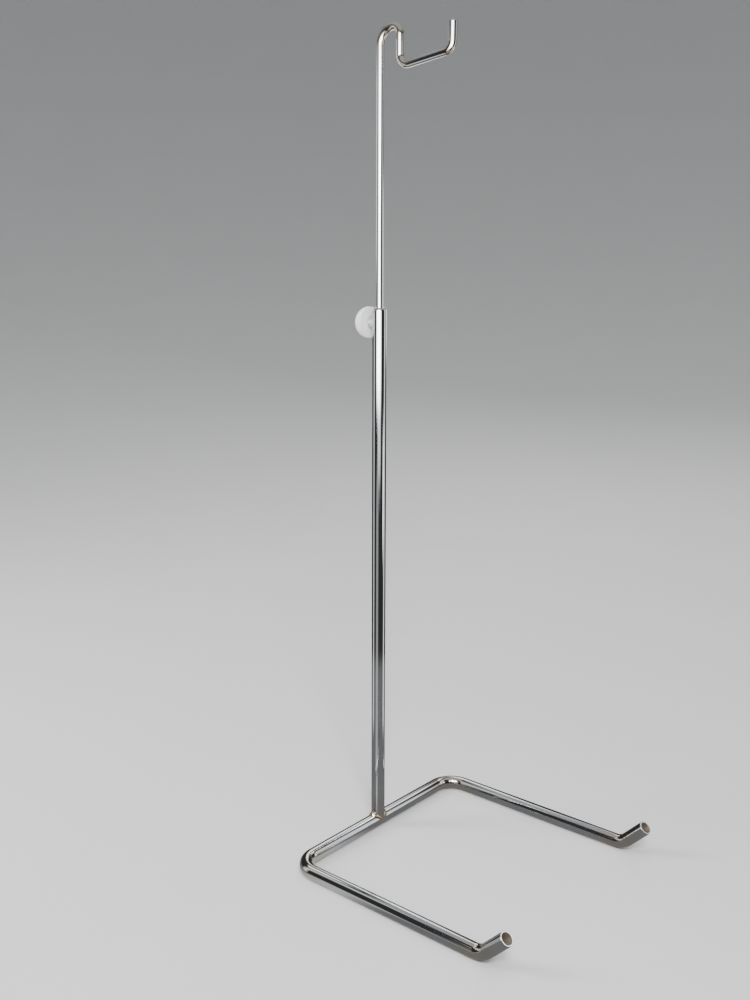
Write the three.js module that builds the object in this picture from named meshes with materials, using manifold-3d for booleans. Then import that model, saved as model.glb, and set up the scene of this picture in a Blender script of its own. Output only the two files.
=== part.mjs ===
// Chrome-plated counter stand with one hook and an adjustable height.
//
// A U-shaped foot of bent tube carries a welded upright tube. A thinner rod, bent into a hook at its
// top, slides and turns in the upright. A thumbscrew at the back of the upright clamps the rod.
//
// Millimetres, +Z up. The origin is on the floor, under the upright, in the middle of the foot's
// crossbar. +X runs forward along the legs and the hook; +Y runs along the crossbar.

import * as THREE from 'three';
import { mergeVertices } from 'three/addons/utils/BufferGeometryUtils.js';
import Module from 'manifold-3d';

const wasm = await Module();
wasm.setup();

// ---------------------------------------------------------------- driving dimensions

const GAP = 0.3; // clearance between neighbouring pieces

const TUBE_DIAMETER = 12.7; // foot and upright
const TUBE_WALL = 1.25;
const TUBE_SIDES = 24;
const TUBE_BEND_STEPS = 36; // facets in a full turn of bent tube

const LEG_SPACING = 224; // between the axes of the two legs
const LEG_REACH = 201; // crossbar axis to the point where a leg starts to rise
const CORNER_RADIUS = 21; // bends at the ends of the crossbar, on the tube's axis
const TIP_RADIUS = 17; // bends where the legs turn up
const TIP_ANGLE = THREE.MathUtils.degToRad(45.5); // rise of the turned-up ends
const TIP_LENGTH = 32; // from a leg's bend corner to its cut end

const UPRIGHT_TOP = 491.5;
const MOUTH_HEIGHT = 4; // length of the rolled-in mouth of the upright
const MOUTH_OUTER_RADIUS = 4.4;
const MOUTH_STEPS = 5; // facets in the rolled shoulder

const WELD_REACH = 2.4; // spread of the weld along the crossbar
const WELD_FLANK = 1.1; // spread of the weld on the crossbar's flanks
const WELD_RISE = 3.2; // height of the weld on the upright, above the crossbar
const WELD_TOE = 0.8; // height of the weld's edge above the crossbar
const WELD_STEPS = 4; // facets in the weld's rounded face
const WELD_SIDES = 32;

const ROD_DIAMETER = 6.35;
const ROD_SIDES = 16;
const ROD_BEND_STEPS = 28; // facets in a full turn of bent rod
const ROD_BOTTOM = 352;
const ARCH_TOP = 720.3; // height of the rod's axis at the top of its arch
const ARCH_REAR_RADIUS = 14; // wide bend out of the upright
const ARCH_FRONT_RADIUS = 7; // tight bend into the drop
const HOOK_RADIUS = 8; // bends at the two ends of the hook's arm
const ARM_REACH = 75; // rod axis to the hook's upright tip
const ARM_HEIGHT = 688; // where the axes of the drop and the arm meet
const ARM_RISE = THREE.MathUtils.degToRad(8.2);
const HOOK_TIP_HEIGHT = 717.6;
const ROD_CHAMFER = 0.9;

const GLIDE_LENGTH = 14;
const GLIDE_LAND = 3; // length of each full-diameter end of the glide
const GLIDE_RELIEF = 0.5;
const CLIP_THICKNESS = 0.8;
const CLIP_OUTER_RADIUS = 4.3;
const CLIP_OPENING = THREE.MathUtils.degToRad(70);
const CLIP_STEPS = 20; // facets in each arc of a clip
const GROOVE_RADIUS = 2.4;
const ROD_END_LAND = 2; // rod left below the lower groove

const SCREW_HEIGHT = 478.5;
const STUD_RADIUS = 2.5;
const STUD_END = 17.9; // end of the stud inside the head, from the upright's axis
const BOSS_RADIUS = 4.25;
const BOSS_FACE = 10; // outer face of the boss, from the upright's axis
const HEAD_RADIUS = 13.65; // domed head that the fingers turn
const HEAD_FACE = 10.5; // inner face of the head, from the upright's axis
const HEAD_CHAMFER = 0.5;
const HEAD_RIM = 1; // from the inner face to the start of the dome
const HEAD_DOME = 10.4; // depth of the dome
const HEAD_FLAT_RADIUS = 4; // flat at the top of the dome
const HEAD_STEPS = 8; // facets in the dome's profile
const HEAD_SIDES = 40;
const PAD_RADIUS = 2.2;
const PAD_THICKNESS = 0.75;
const PAD_PIN_RADIUS = 1;
const PAD_PIN_LENGTH = 2;
const PAD_SIDES = 16;

// ---------------------------------------------------------------- derived dimensions

const TUBE_RADIUS = TUBE_DIAMETER / 2;
const BORE_RADIUS = TUBE_RADIUS - TUBE_WALL;
const ROD_RADIUS = ROD_DIAMETER / 2;
const ROD_BORE_RADIUS = ROD_RADIUS + GAP; // bores that guide the rod
const HALF_TURN = Math.PI;
const QUARTER_TURN = Math.PI / 2;
const CUTTER_LENGTH = 4 * TUBE_DIAMETER; // longer than any piece that it cuts
const MERGE_DISTANCE = 1e-4; // vertices nearer than this are one
const ROUNDING = 1e-9; // tolerance on a station's number

// ---------------------------------------------------------------- materials

const metal = (color, roughness) => new THREE.MeshStandardMaterial({ color, roughness, metalness: 1 });
const plastic = (color, roughness) => new THREE.MeshStandardMaterial({ color, roughness, metalness: 0 });

const chrome = () => metal(0xd6d9dc, 0.08);
const weldedChrome = () => metal(0xb9ab8f, 0.28);
const platedSteel = () => metal(0xa9adb1, 0.3);
const brass = () => metal(0xb5934a, 0.35);
const springSteel = () => metal(0x4a4b4d, 0.4);
const whitePlastic = () => plastic(0xeeece6, 0.4);
const nylon = () => plastic(0xe6e2d6, 0.55);

// ---------------------------------------------------------------- solids

// A closed BufferGeometry as a Manifold solid.
function solid(geometry) {
  const bare = geometry.index ? geometry.toNonIndexed() : geometry.clone();
  bare.deleteAttribute('normal');
  bare.deleteAttribute('uv');
  const merged = mergeVertices(bare, MERGE_DISTANCE);
  return new wasm.Manifold(new wasm.Mesh({
    numProp: 3,
    vertProperties: Float32Array.from(merged.attributes.position.array),
    triVerts: Uint32Array.from(merged.index.array),
  }));
}

// A Manifold solid as a BufferGeometry.
function geometryOf(manifold) {
  const { vertProperties, triVerts } = manifold.getMesh();
  const geometry = new THREE.BufferGeometry();
  geometry.setAttribute('position', new THREE.BufferAttribute(vertProperties, 3));
  geometry.setIndex(new THREE.BufferAttribute(triVerts, 1));
  geometry.computeVertexNormals();
  return geometry;
}

// A solid of revolution about +Y from a profile of [radius, height] pairs, counter-clockwise.
function turned(profile, sides = TUBE_SIDES) {
  const points = profile.map(([radius, height]) => new THREE.Vector2(radius, height));
  return new THREE.LatheGeometry(points, sides);
}

// The same, standing on +Z.
const turnedUpright = (profile, sides) => turned(profile, sides).rotateX(QUARTER_TURN);

// A closed profile of a plain ring.
const ringProfile = (inner, outer, low, high) => [
  [inner, low],
  [outer, low],
  [outer, high],
  [inner, high],
  [inner, low],
];

// Points of a quarter of an ellipse that bulges outwards, from its widest point to its highest.
function roundedEdge([wide, low], [narrow, high], steps) {
  const points = [];
  for (let i = 0; i <= steps; i += 1) {
    const angle = (QUARTER_TURN * i) / steps;
    points.push([narrow + (wide - narrow) * Math.cos(angle), low + (high - low) * Math.sin(angle)]);
  }
  return points;
}

// A closed profile of a plain disc or bar on the axis.
const barProfile = (radius, low, high) => [
  [0, low],
  [radius, low],
  [radius, high],
  [0, high],
];

// A regular polygon's corner radius, from the radius to its flats.
const cornerRadius = (flatRadius, sides) => flatRadius / Math.cos(HALF_TURN / sides);

// A cutter along the crossbar, its flats in line with the crossbar's own.
function crossBar(flatRadius) {
  const radius = cornerRadius(flatRadius, TUBE_SIDES);
  const firstCorner = HALF_TURN / TUBE_SIDES;
  const bar = new THREE.CylinderGeometry(radius, radius, CUTTER_LENGTH, TUBE_SIDES, 1, false, firstCorner);
  return solid(bar.translate(0, 0, TUBE_RADIUS));
}

// ---------------------------------------------------------------- bent tube and rod

// Straight runs joined by arcs. Each corner is { at: Vector3, radius }, and the two ends have no
// radius. Arcs are divided evenly and straight runs aren't divided at all.
class BentPath extends THREE.Curve {
  constructor(corners, segmentsPerTurn) {
    super();
    this.stations = [];
    corners.forEach((corner, i) => {
      if (corner.radius) {
        this.addArc(corners[i - 1].at, corner, corners[i + 1].at, segmentsPerTurn);
        return;
      }
      const [from, to] = i === 0 ? [corner.at, corners[1].at] : [corners[i - 1].at, corner.at];
      this.stations.push({ point: corner.at, tangent: to.clone().sub(from).normalize() });
    });
  }

  addArc(before, { at, radius }, after, segmentsPerTurn) {
    const into = at.clone().sub(before).normalize();
    const out = after.clone().sub(at).normalize();
    const turn = into.angleTo(out);
    const axis = into.clone().cross(out).normalize();
    const start = at.clone().addScaledVector(into, -radius * Math.tan(turn / 2));
    const centre = start.clone().addScaledVector(axis.clone().cross(into), radius);
    const steps = Math.ceil((turn / (2 * HALF_TURN)) * segmentsPerTurn);
    for (let i = 0; i <= steps; i += 1) {
      const angle = (turn * i) / steps;
      this.stations.push({
        point: start.clone().sub(centre).applyAxisAngle(axis, angle).add(centre),
        tangent: into.clone().applyAxisAngle(axis, angle),
      });
    }
  }

  get steps() {
    return this.stations.length - 1;
  }

  blend(t, key, target) {
    const place = t * this.steps;
    const low = Math.min(Math.floor(place + ROUNDING), this.steps - 1);
    return target.lerpVectors(this.stations[low][key], this.stations[low + 1][key], place - low);
  }

  getPoint(t, target = new THREE.Vector3()) {
    return this.blend(t, 'point', target);
  }

  getTangent(t, target = new THREE.Vector3()) {
    return this.blend(t, 'tangent', target).normalize();
  }

  getPointAt(t, target) {
    return this.getPoint(t, target);
  }

  getTangentAt(t, target) {
    return this.getTangent(t, target);
  }
}

// A regular polygon with its flats on the stated radius, one of them square to each axis.
function flatSided(PathClass, flatRadius, sides) {
  const path = new PathClass();
  const radius = cornerRadius(flatRadius, sides);
  for (let i = 0; i < sides; i += 1) {
    const angle = ((i + 0.5) * 2 * HALF_TURN) / sides;
    const [x, y] = [radius * Math.cos(angle), radius * Math.sin(angle)];
    if (i === 0) path.moveTo(x, y);
    else path.lineTo(x, y);
  }
  path.closePath();
  return path;
}

function bent(path, outerRadius, innerRadius, sides) {
  const section = flatSided(THREE.Shape, outerRadius, sides);
  if (innerRadius) section.holes.push(flatSided(THREE.Path, innerRadius, sides));
  return new THREE.ExtrudeGeometry(section, { steps: path.steps, extrudePath: path, bevelEnabled: false });
}

// ---------------------------------------------------------------- foot and upright

function footTube() {
  const z = TUBE_RADIUS;
  const y = LEG_SPACING / 2;
  const tipX = LEG_REACH + TIP_LENGTH * Math.cos(TIP_ANGLE);
  const tipZ = z + TIP_LENGTH * Math.sin(TIP_ANGLE);
  const leg = (side) => [
    { at: new THREE.Vector3(tipX, side * y, tipZ) },
    { at: new THREE.Vector3(LEG_REACH, side * y, z), radius: TIP_RADIUS },
    { at: new THREE.Vector3(0, side * y, z), radius: CORNER_RADIUS },
  ];
  const path = new BentPath([...leg(-1), ...leg(1).reverse()], TUBE_BEND_STEPS);
  return bent(path, TUBE_RADIUS, BORE_RADIUS, TUBE_SIDES);
}

// The upright's foot is coped to sit on the crossbar, and its mouth is rolled in to guide the rod.
function uprightTube() {
  const shoulder = UPRIGHT_TOP - MOUTH_HEIGHT;
  const tube = solid(turnedUpright([
    [BORE_RADIUS, TUBE_RADIUS],
    [TUBE_RADIUS, TUBE_RADIUS],
    ...roundedEdge([TUBE_RADIUS, shoulder], [MOUTH_OUTER_RADIUS, UPRIGHT_TOP], MOUTH_STEPS),
    [ROD_BORE_RADIUS, UPRIGHT_TOP],
    [ROD_BORE_RADIUS, UPRIGHT_TOP - MOUTH_HEIGHT / 2],
    [BORE_RADIUS, shoulder - TUBE_WALL],
    [BORE_RADIUS, TUBE_RADIUS],
  ]));
  const screwHole = turned(barProfile(STUD_RADIUS + GAP, 0, TUBE_DIAMETER));
  screwHole.rotateZ(QUARTER_TURN).translate(0, 0, SCREW_HEIGHT);
  return geometryOf(tube.subtract(crossBar(TUBE_RADIUS + GAP)).subtract(solid(screwHole)));
}

// The weld fills the corner between the crossbar and the upright, and thins out on the flanks.
function footWeld() {
  const edge = TUBE_RADIUS + WELD_REACH;
  const bottom = TUBE_RADIUS - GAP;
  const crossbarTop = TUBE_DIAMETER;
  const face = roundedEdge(
    [edge, crossbarTop + WELD_TOE],
    [TUBE_RADIUS + 2 * GAP, crossbarTop + WELD_RISE],
    WELD_STEPS,
  );
  const profile = [[0, bottom], [edge, bottom], ...face, [0, crossbarTop + WELD_RISE]];
  const mound = turnedUpright(profile, WELD_SIDES);
  mound.scale((TUBE_RADIUS + WELD_FLANK + GAP) / edge, 1, 1);
  const upright = solid(turnedUpright(barProfile(TUBE_RADIUS + GAP, 0, CUTTER_LENGTH)));
  const saddle = solid(mound).intersect(crossBar(TUBE_RADIUS + WELD_RISE));
  return geometryOf(saddle.subtract(crossBar(TUBE_RADIUS + GAP)).subtract(upright));
}

// ---------------------------------------------------------------- rod, hook and glide

const grooveHeights = () => {
  const half = CLIP_THICKNESS / 2 + GAP;
  const lower = ROD_BOTTOM + ROD_END_LAND + half;
  return [lower, lower + GLIDE_LENGTH + CLIP_THICKNESS + 2 * GAP];
};

function hookRod() {
  const dropX = ARCH_REAR_RADIUS + ARCH_FRONT_RADIUS;
  const armEndHeight = ARM_HEIGHT + (ARM_REACH - dropX) * Math.tan(ARM_RISE);
  const at = (x, z) => new THREE.Vector3(x, 0, z);
  const path = new BentPath([
    { at: at(0, ROD_BOTTOM) },
    { at: at(0, ARCH_TOP), radius: ARCH_REAR_RADIUS },
    { at: at(dropX, ARCH_TOP), radius: ARCH_FRONT_RADIUS },
    { at: at(dropX, ARM_HEIGHT), radius: HOOK_RADIUS },
    { at: at(ARM_REACH, armEndHeight), radius: HOOK_RADIUS },
    { at: at(ARM_REACH, HOOK_TIP_HEIGHT) },
  ], ROD_BEND_STEPS);
  let rod = solid(bent(path, ROD_RADIUS, 0, ROD_SIDES));
  for (const height of grooveHeights()) {
    const half = CLIP_THICKNESS / 2 + GAP;
    const groove = turnedUpright(ringProfile(GROOVE_RADIUS, ROD_DIAMETER, height - half, height + half));
    rod = rod.subtract(solid(groove));
  }
  const chamferRing = turnedUpright([
    [ROD_RADIUS - ROD_CHAMFER, HOOK_TIP_HEIGHT + GAP],
    [ROD_RADIUS - ROD_CHAMFER, HOOK_TIP_HEIGHT],
    [ROD_DIAMETER, HOOK_TIP_HEIGHT - ROD_CHAMFER - ROD_RADIUS],
    [ROD_DIAMETER, HOOK_TIP_HEIGHT + GAP],
    [ROD_RADIUS - ROD_CHAMFER, HOOK_TIP_HEIGHT + GAP],
  ]).translate(ARM_REACH, 0, 0);
  return geometryOf(rod.subtract(solid(chamferRing)));
}

function retainingClip() {
  const inner = GROOVE_RADIUS + GAP;
  const shape = new THREE.Shape();
  shape.absarc(0, 0, CLIP_OUTER_RADIUS, CLIP_OPENING / 2, 2 * HALF_TURN - CLIP_OPENING / 2, false);
  shape.absarc(0, 0, inner, 2 * HALF_TURN - CLIP_OPENING / 2, CLIP_OPENING / 2, true);
  shape.closePath();
  const clip = new THREE.ExtrudeGeometry(shape, {
    depth: CLIP_THICKNESS,
    bevelEnabled: false,
    curveSegments: CLIP_STEPS,
  });
  return clip.translate(0, 0, -CLIP_THICKNESS / 2);
}

// A sleeve with two lands that run in the upright's bore.
function rodGlide() {
  const outer = BORE_RADIUS - GAP;
  return turnedUpright([
    [ROD_BORE_RADIUS, 0],
    [outer, 0],
    [outer, GLIDE_LAND],
    [outer - GLIDE_RELIEF, GLIDE_LAND + GLIDE_RELIEF],
    [outer - GLIDE_RELIEF, GLIDE_LENGTH - GLIDE_LAND - GLIDE_RELIEF],
    [outer, GLIDE_LENGTH - GLIDE_LAND],
    [outer, GLIDE_LENGTH],
    [ROD_BORE_RADIUS, GLIDE_LENGTH],
    [ROD_BORE_RADIUS, 0],
  ]);
}

// ---------------------------------------------------------------- thumbscrew

// These pieces are made about +Y, from the upright's axis outwards, with the screw at the origin.

// A short threaded collar, coped to the back of the upright.
function screwBoss() {
  const collar = solid(turned(ringProfile(STUD_RADIUS + GAP, BOSS_RADIUS, 0, BOSS_FACE)));
  const upright = solid(turnedUpright(barProfile(TUBE_RADIUS + GAP, -TUBE_RADIUS, TUBE_RADIUS)));
  return geometryOf(collar.subtract(upright));
}

function screwHead() {
  const rim = HEAD_FACE + HEAD_RIM;
  return turned([
    [0, STUD_END + GAP],
    [STUD_RADIUS + GAP, STUD_END + GAP],
    [STUD_RADIUS + GAP, HEAD_FACE],
    [HEAD_RADIUS - HEAD_CHAMFER, HEAD_FACE],
    [HEAD_RADIUS, HEAD_FACE + HEAD_CHAMFER],
    ...roundedEdge([HEAD_RADIUS, rim], [HEAD_FLAT_RADIUS, rim + HEAD_DOME], HEAD_STEPS),
    [0, rim + HEAD_DOME],
  ], HEAD_SIDES);
}

const padFace = () => ROD_RADIUS + GAP;
const studStart = () => padFace() + PAD_THICKNESS + GAP;

// The stud is drilled at its inner end for the pad's pin.
function screwStud() {
  const start = studStart();
  const drilled = start + PAD_PIN_LENGTH;
  return turned([
    [0, drilled],
    [PAD_PIN_RADIUS + GAP, drilled],
    [PAD_PIN_RADIUS + GAP, start],
    [STUD_RADIUS - GAP, start],
    [STUD_RADIUS, start + GAP],
    [STUD_RADIUS, STUD_END - GAP],
    [STUD_RADIUS - GAP, STUD_END],
    [0, STUD_END],
  ]);
}

function screwPad() {
  const face = padFace();
  return turned([
    [0, face],
    [PAD_RADIUS, face],
    [PAD_RADIUS, face + PAD_THICKNESS],
    [PAD_PIN_RADIUS, face + PAD_THICKNESS],
    [PAD_PIN_RADIUS, face + PAD_THICKNESS + PAD_PIN_LENGTH],
    [0, face + PAD_THICKNESS + PAD_PIN_LENGTH],
  ], PAD_SIDES);
}

// ---------------------------------------------------------------- assembly

function piece(name, geometry, material) {
  const mesh = new THREE.Mesh(geometry, material);
  mesh.name = name;
  return mesh;
}

const foot = new THREE.Group();
foot.add(
  piece('base_tube', footTube(), chrome()),
  piece('upright_tube', uprightTube(), chrome()),
  piece('foot_weld', footWeld(), weldedChrome()),
);

const slidingRod = new THREE.Group();
const [lowerClipHeight, upperClipHeight] = grooveHeights();
const lowerClip = piece('rod_clip_lower', retainingClip(), springSteel());
const upperClip = piece('rod_clip_upper', retainingClip(), springSteel());
const glide = piece('rod_glide', rodGlide(), nylon());
lowerClip.position.z = lowerClipHeight;
upperClip.position.z = upperClipHeight;
glide.position.z = (lowerClipHeight + upperClipHeight - GLIDE_LENGTH) / 2;
slidingRod.add(piece('hook_rod', hookRod(), chrome()), lowerClip, upperClip, glide);

const thumbscrew = new THREE.Group();
thumbscrew.position.z = SCREW_HEIGHT;
thumbscrew.rotation.z = QUARTER_TURN;
thumbscrew.add(
  piece('screw_boss', screwBoss(), platedSteel()),
  piece('screw_head', screwHead(), whitePlastic()),
  piece('screw_stud', screwStud(), platedSteel()),
  piece('screw_pad', screwPad(), brass()),
);

const stand = new THREE.Group();
stand.add(foot, slidingRod, thumbscrew);

export default stand;
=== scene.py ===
import math

import bpy
import numpy as np
from mathutils import Matrix, Vector


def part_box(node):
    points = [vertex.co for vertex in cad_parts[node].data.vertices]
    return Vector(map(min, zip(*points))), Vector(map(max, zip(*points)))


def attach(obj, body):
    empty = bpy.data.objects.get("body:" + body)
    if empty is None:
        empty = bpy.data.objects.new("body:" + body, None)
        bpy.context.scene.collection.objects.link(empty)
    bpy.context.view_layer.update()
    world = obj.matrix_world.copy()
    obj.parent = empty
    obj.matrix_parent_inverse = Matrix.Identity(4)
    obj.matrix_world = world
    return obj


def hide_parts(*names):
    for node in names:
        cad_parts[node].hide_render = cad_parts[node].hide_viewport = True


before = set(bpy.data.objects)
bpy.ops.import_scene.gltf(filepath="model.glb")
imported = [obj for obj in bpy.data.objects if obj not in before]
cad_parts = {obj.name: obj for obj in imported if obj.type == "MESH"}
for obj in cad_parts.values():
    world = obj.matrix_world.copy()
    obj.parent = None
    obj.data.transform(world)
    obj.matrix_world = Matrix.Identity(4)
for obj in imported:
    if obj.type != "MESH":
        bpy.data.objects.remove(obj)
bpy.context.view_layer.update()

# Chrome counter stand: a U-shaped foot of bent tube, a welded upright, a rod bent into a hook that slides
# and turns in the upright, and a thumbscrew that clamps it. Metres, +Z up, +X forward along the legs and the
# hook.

# ------------------------------------------------------------------------------------------ dimensions

MM = 0.001
GAP = 0.3 * MM                       # clearance between neighbouring pieces
TINY = 1e-9                          # a length below this counts as nothing
SLIGHT = 1e-6                        # a turn or a step below this counts as none
QUARTER_TURN = math.pi / 2
FULL_TURN = 2 * math.pi

foot_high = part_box("base_tube")[1]
upright_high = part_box("upright_tube")[1]
rod_low, rod_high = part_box("hook_rod")
glide_low, glide_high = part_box("rod_glide")
boss_low, boss_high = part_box("screw_boss")
head_low, head_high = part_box("screw_head")
stud_low, stud_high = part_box("screw_stud")
pad_low, pad_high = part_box("screw_pad")

TUBE_RADIUS = upright_high.x
TUBE_WALL = 1.25 * MM
BORE_RADIUS = TUBE_RADIUS - TUBE_WALL
LEG_Y = foot_high.y - TUBE_RADIUS
CORNER_RADIUS = 21 * MM              # bends at the ends of the crossbar, on the tube's axis
TIP_RADIUS = 17 * MM                 # bends where the legs turn up
TIP_ANGLE = math.radians(45.5)       # rise of the turned-up ends
TIP_X = foot_high.x - TUBE_RADIUS * math.sin(TIP_ANGLE)
TIP_Z = foot_high.z - TUBE_RADIUS * math.cos(TIP_ANGLE)
LEG_REACH = TIP_X - (TIP_Z - TUBE_RADIUS) / math.tan(TIP_ANGLE)

ROD_RADIUS = rod_high.y
ROD_BORE_RADIUS = ROD_RADIUS + GAP
ARCH_TOP = rod_high.z - ROD_RADIUS
ARCH_REAR_RADIUS = 14 * MM
ARCH_FRONT_RADIUS = 7 * MM
DROP_X = ARCH_REAR_RADIUS + ARCH_FRONT_RADIUS
HOOK_RADIUS = 8 * MM
ARM_HEIGHT = ARCH_TOP - 32.3 * MM    # where the axes of the drop and the arm meet
ARM_RISE = math.radians(8.2)
ARM_REACH = rod_high.x - ROD_RADIUS
HOOK_TIP_HEIGHT = ARCH_TOP - 2.7 * MM

SCREW_HEIGHT = (head_low.z + head_high.z) / 2
SCREW_BORE = 2.8 * MM                # radius of the hole that the screw passes through
PITCH = 0.8 * MM                     # of the screw's thread

# ------------------------------------------------------------------------------------------ mesh building


class Path:
    """Straight runs joined by arcs. Each corner is (point, bend radius); the two ends have radius 0."""

    def __init__(self, corners):
        points = [Vector(point) for point, _ in corners]
        self.runs = []
        self.length = 0.0
        self.bends = []              # (start, end, direction towards the bend's centre at its middle)
        heading = (points[1] - points[0]).normalized()
        side = heading.orthogonal().normalized()
        here = points[0]
        for i in range(1, len(points)):
            if i == len(points) - 1:
                self._straight(here, points[i], heading, side)
                break
            out = (points[i + 1] - points[i]).normalized()
            turn = heading.angle(out)
            radius = corners[i][1]
            start = points[i] - heading * (radius * math.tan(turn / 2))
            self._straight(here, start, heading, side)
            axis = heading.cross(out).normalized()
            centre = start + axis.cross(heading) * radius
            self.runs.append(("arc", self.length, start, heading, side, centre, axis, radius))
            towards = Matrix.Rotation(turn / 2, 3, axis) @ (centre - start).normalized()
            self.bends.append((self.length, self.length + radius * turn, towards))
            self.length += radius * turn
            spin = Matrix.Rotation(turn, 3, axis)
            here, heading, side = centre + spin @ (start - centre), out, spin @ side

    def _straight(self, start, end, heading, side):
        self.runs.append(("straight", self.length, start, heading, side))
        self.length += (end - start).length

    def at(self, s):
        """Point, tangent and two normals at the distance s along the path."""
        run = [r for r in self.runs if r[1] <= s + TINY][-1] if s > 0 else self.runs[0]
        kind, begins, start, heading, side = run[:5]
        if kind == "straight":
            point = start + heading * (s - begins)
        else:
            centre, axis, radius = run[5:]
            spin = Matrix.Rotation((s - begins) / radius, 3, axis)
            point = centre + spin @ (start - centre)
            heading, side = spin @ heading, spin @ side
        return point, heading, side, heading.cross(side)

    def stations(self, bend_step, straight_step):
        """Distances at which a swept surface needs a ring: close together in the bends."""
        marks = {0.0, self.length}
        edges = [0.0] + [e for begin, end, _ in self.bends for e in (begin, end)] + [self.length]
        for k, (low, high) in enumerate(zip(edges[:-1], edges[1:])):
            step = bend_step if k % 2 else straight_step
            count = max(1, math.ceil((high - low) / step))
            marks.update(low + (high - low) * j / count for j in range(count + 1))
        return sorted(marks)


def fillet_profile(corners, closed=False, steps=5):
    """A profile of (along, radius) points and outward normals, from corners (along, radius, fillet)."""
    count = len(corners)
    result = []
    for i, (along, radius, fillet) in enumerate(corners):
        here = np.array([along, radius])
        before = np.array(corners[i - 1][:2])
        after = np.array(corners[(i + 1) % count][:2])
        ends = not closed and i in (0, count - 1)
        into = (here - before) / max(np.linalg.norm(here - before), TINY)
        out = (after - here) / max(np.linalg.norm(after - here), TINY)
        if ends:
            direction = out if i == 0 else into
            result.append((here, np.array([-direction[1], direction[0]])))
            continue
        turn = math.atan2(into[0] * out[1] - into[1] * out[0], float(into @ out))
        if abs(turn) < SLIGHT:
            result.append((here, np.array([-into[1], into[0]])))
            continue
        reach = fillet * math.tan(abs(turn) / 2)
        first = here - into * reach
        normal = np.array([-into[1], into[0]])
        centre = first + normal * (fillet if turn > 0 else -fillet)
        for k in range(steps + 1):
            angle = turn * k / steps
            c, s = math.cos(angle), math.sin(angle)
            spin = np.array([[c, -s], [s, c]])
            result.append((centre + spin @ (first - centre), spin @ normal))
    return result


def with_stations(profile, marks, closed=False):
    """The same profile with extra points wherever a stretch of it passes one of the marks."""
    margin = 0.01 * MM               # a mark this close to a point of the profile adds nothing
    pairs = list(zip(profile, profile[1:] + (profile[:1] if closed else [])))
    result = []
    for (a, normal_a), (b, normal_b) in pairs:
        result.append((a, normal_a))
        span = b[0] - a[0]
        if abs(span) < SLIGHT:
            continue
        low, high = min(a[0], b[0]) + margin, max(a[0], b[0]) - margin
        inside = [m for m in marks if low < m < high]
        for mark in sorted(inside, reverse=bool(span < 0)):
            t = (mark - a[0]) / span
            result.append((a + (b - a) * t, normal_a + (normal_b - normal_a) * t))
    if not closed:
        result.append(profile[-1])
    return result


def facing(vertices, normals, faces):
    """Positive where the faces' winding agrees with the wanted normals."""
    corners = np.array(vertices)[np.array([face[:3] for face in faces])]
    wound = np.cross(corners[:, 1] - corners[:, 0], corners[:, 2] - corners[:, 0])
    wanted = np.array(normals)[np.array([face[1] for face in faces])]
    return (wound * wanted).sum()


def skin(name, rings, normals, closed=False, attributes=None):
    """A mesh object from rings of points. Open skins whose end rings have no radius close on a pole."""
    count, sides = rings.shape[:2]

    def pole(k):
        return not closed and k in (0, count - 1) and np.ptp(rings[k], axis=0).max() < TINY

    used = [slice(0, 1) if pole(k) else slice(None) for k in range(count)]
    vertices, vertex_normals, index = [], [], np.zeros((count, sides), int)
    for k in range(count):
        index[k] = len(vertices) + (0 if pole(k) else np.arange(sides))
        vertices.extend(rings[k][used[k]])
        vertex_normals.extend(normals[k][used[k]])
    steps = np.linalg.norm(np.diff(rings, axis=0), axis=2).mean(axis=1)
    along = np.concatenate([[0.0], np.cumsum(steps)])
    faces, uvs = [], []
    for k in range(count if closed else count - 1):
        nxt = (k + 1) % count
        u0, u1 = along[k], along[k + 1] if k + 1 < count else along[k] + steps.mean()
        for j in range(sides):
            j1 = (j + 1) % sides
            v0, v1 = j / sides, (j + 1) / sides
            corners = [(index[k, j], u0, v0), (index[k, j1], u0, v1),
                       (index[nxt, j1], u1, v1), (index[nxt, j], u1, v0)]
            kept = [c for n, c in enumerate(corners) if c[0] not in [d[0] for d in corners[:n]]]
            if len(kept) < 3:
                continue
            faces.append([int(c[0]) for c in kept])
            uvs.append([(c[1], c[2]) for c in kept])
    if facing(vertices, vertex_normals, faces) < 0:
        faces, uvs = [f[::-1] for f in faces], [u[::-1] for u in uvs]
    mesh = bpy.data.meshes.new(name)
    mesh.from_pydata([tuple(v) for v in vertices], [], faces)
    layer = mesh.uv_layers.new(name="surface")
    layer.data.foreach_set("uv", np.array([uv for face in uvs for uv in face], np.float32).ravel())
    mesh.polygons.foreach_set("use_smooth", [True] * len(mesh.polygons))
    for key, values in (attributes or {}).items():
        flat = np.concatenate([values[k][used[k]] for k in range(count)])
        attribute = mesh.attributes.new(key, "FLOAT", "POINT")
        attribute.data.foreach_set("value", flat.astype(np.float32))
    mesh.update()
    lengths = np.linalg.norm(np.array(vertex_normals), axis=1, keepdims=True)
    mesh.normals_split_custom_set_from_vertices(np.array(vertex_normals) / lengths)
    piece = bpy.data.objects.new(name, mesh)
    bpy.context.scene.collection.objects.link(piece)
    return piece


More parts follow.
